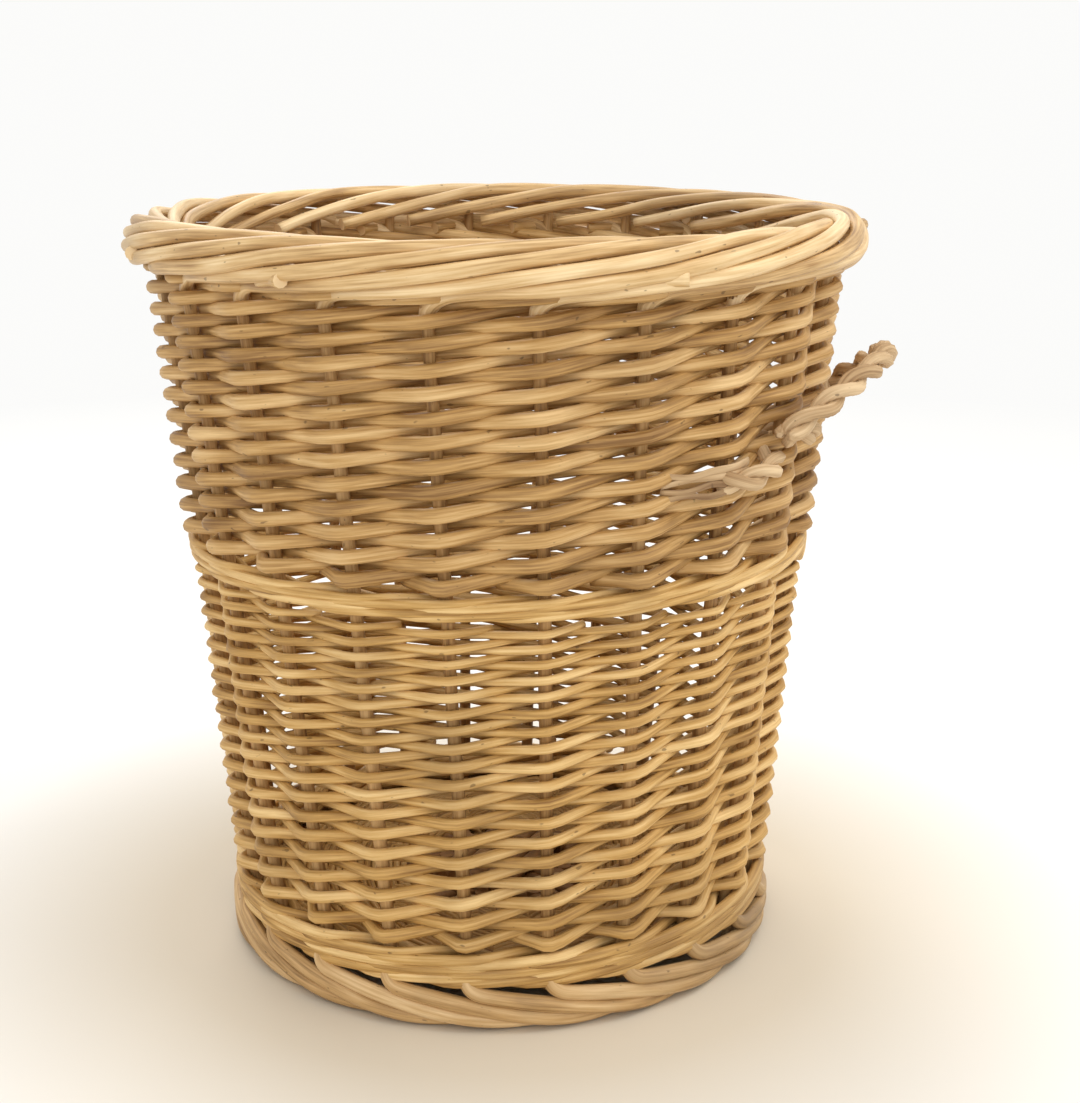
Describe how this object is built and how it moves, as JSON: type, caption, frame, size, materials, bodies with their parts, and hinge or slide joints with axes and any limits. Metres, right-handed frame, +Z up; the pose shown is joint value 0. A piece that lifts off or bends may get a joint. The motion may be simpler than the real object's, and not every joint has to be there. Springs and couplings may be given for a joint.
{
  "type": "wicker log basket",
  "caption": "Round tapering willow log basket with two bands of randing, waled bands, a rolled border, a foot border and a swinging twisted rope handle.",
  "frame": {"origin": "centre of the foot ring, on the floor the basket stands on", "axes": "+Z up along the basket's axis; +X towards the rope handle, so that the handle's hinge line runs along Y"},
  "size_m": [0.446, 0.4278, 0.44],
  "materials": {
    "stake_willow": "satin",
    "stick_willow": "satin",
    "lower_willow": "satin",
    "upper_willow": "satin",
    "border_willow": "satin",
    "foot_willow": "satin",
    "rope": "matte"
  },
  "bodies": {
    "basket": {"base_stick_01": "stick_willow", "base_stick_02": "stick_willow", "base_stick_03": "stick_willow", "base_stick_04": "stick_willow", "base_stick_05": "stick_willow", "base_stick_06": "stick_willow", "base_stick_07": "stick_willow", "base_stick_08": "stick_willow", "base_stick_09": "stick_willow", "base_stick_10": "stick_willow", "base_stick_11": "stick_willow", "base_weave": "lower_willow", "foot_border": "foot_willow", "stake_01": "stake_willow", "stake_02": "stake_willow", "stake_03": "stake_willow", "stake_04": "stake_willow", "stake_05": "stake_willow", "stake_06": "stake_willow", "stake_07": "stake_willow", "stake_08": "stake_willow", "stake_09": "stake_willow", "stake_10": "stake_willow", "stake_11": "stake_willow", "stake_12": "stake_willow", "stake_13": "stake_willow", "stake_14": "stake_willow", "stake_15": "stake_willow", "stake_16": "stake_willow", "stake_17": "stake_willow", "stake_18": "stake_willow", "stake_19": "stake_willow", "stake_20": "stake_willow", "stake_21": "stake_willow", "stake_22": "stake_willow", "upsett_wale": "lower_willow", "lower_weave": "lower_willow", "middle_wale": "lower_willow", "upper_weave": "upper_willow", "top_border": "border_willow", "handle_wrap_front": "rope", "handle_wrap_back": "rope"},
    "handle": {"handle_rope": "rope"}
  },
  "joints": [
    {"name": "handle_swing", "type": "hinge", "parent": "basket", "child": "handle", "pos_m": [0.1845, 0, 0.33], "axis": [0, -1, 0], "range_deg": [-100, 20]}
  ]
}
